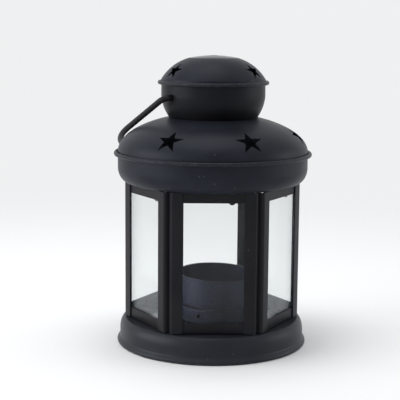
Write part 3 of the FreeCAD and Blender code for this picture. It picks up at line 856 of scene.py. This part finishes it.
def bail(material):
    """Bent wire lying back on the dome."""
    axis = Vector(swing["axis"]).normalized()
    pivot = Vector(swing["pos_m"])
    dip = math.radians((swing["range_deg"][1] - 180) / 2 + BAIL_SWING_SPARE)
    level = Vector((-axis.y, axis.x, 0))
    along = level * math.cos(dip) - UP * math.sin(dip)
    up = axis.cross(along)
    line = bail_line()
    turns = [2 * math.pi * k / WIRE_SIDES for k in range(WIRE_SIDES)]
    bm = bmesh.new()
    rings = []
    for k, point in enumerate(line):
        ahead = (line[min(k + 1, len(line) - 1)] - line[max(k - 1, 0)]).normalized()
        side = axis * ahead.y - along * ahead.x
        middle = axis * point.x + along * point.y
        ring = [middle + (side * math.cos(a) + up * math.sin(a)) * WIRE_R for a in turns]
        rings.append([bm.verts.new(pivot + p * MM) for p in ring])
    for ring, after in zip(rings, rings[1:]):
        for k in range(WIRE_SIDES):
            beside = (k + 1) % WIRE_SIDES
            bm.faces.new((ring[k], ring[beside], after[beside], after[k]))
    bm.faces.new(rings[0])
    bm.faces.new(rings[-1])
    dressed(made(bm, "bent_wire_bail"), material, "handle", "bail_handle")


# Stage

def studio_floor():
    """Plain pale floor with a fine grain, which runs out into the background."""
    bm = bmesh.new()
    bmesh.ops.create_grid(bm, x_segments=FLOOR_CELLS, y_segments=FLOOR_CELLS, size=FLOOR_HALF)
    floor = made(bm, "studio_floor")
    material, tree, shader = new_material("pale_floor")
    coords = add(tree, "ShaderNodeTexCoord").outputs["Object"]
    grain = pattern(tree, coords, FLOOR_SCALE, FLOOR_DETAIL)
    tree.links.new(blend(tree, grain, FLOOR_DARK, FLOOR_LIGHT), shader.inputs["Base Color"])
    shader.inputs["Roughness"].default_value = FLOOR_ROUGHNESS
    shader.inputs["Specular IOR Level"].default_value = FLOOR_GLOSS
    distance = add(tree, "ShaderNodeVectorMath", {0: coords}, operation="LENGTH").outputs["Value"]
    far = remap(tree, distance, FLOOR_FADE, smooth=True)
    horizon = add(tree, "ShaderNodeEmission", {"Color": WORLD_COLOUR, "Strength": BACKGROUND})
    mix = add(tree, "ShaderNodeMixShader", {0: far, 1: shader.outputs[0], 2: horizon.outputs[0]})
    tree.links.new(mix.outputs[0], tree.nodes["Material Output"].inputs["Surface"])
    floor.data.materials.append(material)


def studio_world():
    """Even pale surroundings, with less light from the camera's side and a little less from the right."""
    world = bpy.data.worlds.new("studio_world")
    bpy.context.scene.world = world
    world.use_nodes = True
    tree = world.node_tree
    background = tree.nodes["Background"]
    direction = add(tree, "ShaderNodeTexCoord").outputs["Generated"]
    parts = add(tree, "ShaderNodeSeparateXYZ", {"Vector": direction}).outputs
    depth = remap(tree, parts["Y"], FRONT_TO_BACK, (FRONT_LIGHT, BACK_LIGHT), smooth=True)
    across = remap(tree, parts["X"], LEFT_TO_RIGHT, (LEFT_LIGHT, RIGHT_LIGHT), smooth=True)
    rays = add(tree, "ShaderNodeLightPath").outputs
    seen = maths(tree, "MAXIMUM", rays["Is Camera Ray"], rays["Is Transmission Ray"])
    seen = maths(tree, "MAXIMUM", seen, rays["Is Glossy Ray"])
    light = {"Factor": seen, "A": maths(tree, "MULTIPLY", depth, across), "B": BACKGROUND}
    strength = add(tree, "ShaderNodeMix", light, data_type="FLOAT")
    background.inputs["Color"].default_value = WORLD_COLOUR
    tree.links.new(strength.outputs["Result"], background.inputs["Strength"])


def softbox(name, place, size, watts):
    """Square lamp that faces the middle of the lantern."""
    lamp = bpy.data.lights.new(name, "AREA")
    lamp.shape = "SQUARE"
    lamp.size = size
    lamp.energy = watts
    obj = bpy.data.objects.new(name, lamp)
    obj.location = place
    obj.rotation_euler = (LAMP_AIM - obj.location).to_track_quat("-Z", "Y").to_euler()
    bpy.context.scene.collection.objects.link(obj)


def camera():
    """Camera at the photograph's viewing angle."""
    data = bpy.data.cameras.new("camera")
    data.sensor_width = SENSOR_W
    data.lens = LENS
    data.clip_start = CLIP_NEAR
    data.clip_end = CLIP_FAR
    obj = bpy.data.objects.new("camera", data)
    obj.location = CAMERA_PLACE * MM
    heading = Matrix.Rotation(math.radians(CAMERA_YAW), 4, "Z")
    tilt = Matrix.Rotation(math.radians(90 - CAMERA_PITCH), 4, "X")
    roll = Matrix.Rotation(math.radians(CAMERA_ROLL), 4, "Z")
    obj.rotation_euler = (heading @ tilt @ roll).to_euler()
    bpy.context.scene.collection.objects.link(obj)
    bpy.context.scene.camera = obj


# Lighter copy: partly settled dust, partly painted light on the base
base_paint = black_paint("black_paint_base", seed=1.0, shade=(1.45, 1.4, 1.35), dust=0.10, gloss=0.18)
# Much lighter, bluer copy: painted light, cool from above, on the cup and pedestal inside the glass
cup_paint = black_paint("black_paint_cup", seed=5.0, shade=(2.2, 2.3, 3.0), dust=0.05, gloss=0.14)
# Darker, less blue copy: painted shade on the frame, whose faces turn to the dim front
frame_paint = black_paint("black_paint_frame", seed=2.0, shade=(0.85, 0.7, 0.62), dust=0.06, gloss=0.15)
# Lighter, bluer copy: painted cool light from above on skirt, dome and cap
roof_paint = black_paint("black_paint_roof", seed=3.0, shade=(1.25, 1.25, 1.32), dust=0.10, gloss=0.11)
# Darker copy: painted shade on the bowl between dome and cap
bowl_paint = black_paint("black_paint_bowl", seed=4.0, shade=(0.65, 0.58, 0.52), dust=0.03, gloss=0.11)
glass = window_glass()
steel = bare_steel()

noise.seed_set(DENT_SEED)
base_pan(base_paint)
cup_pedestal(cup_paint)
candle_cup(cup_paint)
roof_skirt(roof_paint)
roof_dome(roof_paint)
chimney_bowl(bowl_paint)
chimney_cap(roof_paint)
corner_posts(frame_paint)
rails(frame_paint)
bail(frame_paint)

# Clips, rivets and panes keep their shape from the frame
panes = ["glass_pane_%d" % (k + 1) for k in range(SIDES)]
carried_over = {"pane_clips": frame_paint, "cup_rivets": steel, "base_clips": base_paint,
                "roof_rivets": steel, "chimney_rivets": steel}
carried_over.update({node: glass for node in panes})
for node, material in carried_over.items():
    mesh = frame["nodes"][node].data
    mesh.materials.clear()
    mesh.materials.append(material)

# The panes let all light in, so that the cup is lit as it would be behind clear glass
for node in panes:
    pane = frame["nodes"][node]
    pane.visible_diffuse = False
    pane.visible_shadow = False

studio_floor()
studio_world()
softbox("softbox_top", place=(-0.1, -0.05, 1.15), size=0.8, watts=4.5)
softbox("softbox_left", place=(-0.95, -0.25, 0.25), size=0.9, watts=9.5)
softbox("softbox_right", place=(0.95, 0.05, 0.22), size=0.5, watts=2.0)
camera()
bpy.context.scene.view_settings.view_transform = "Standard"
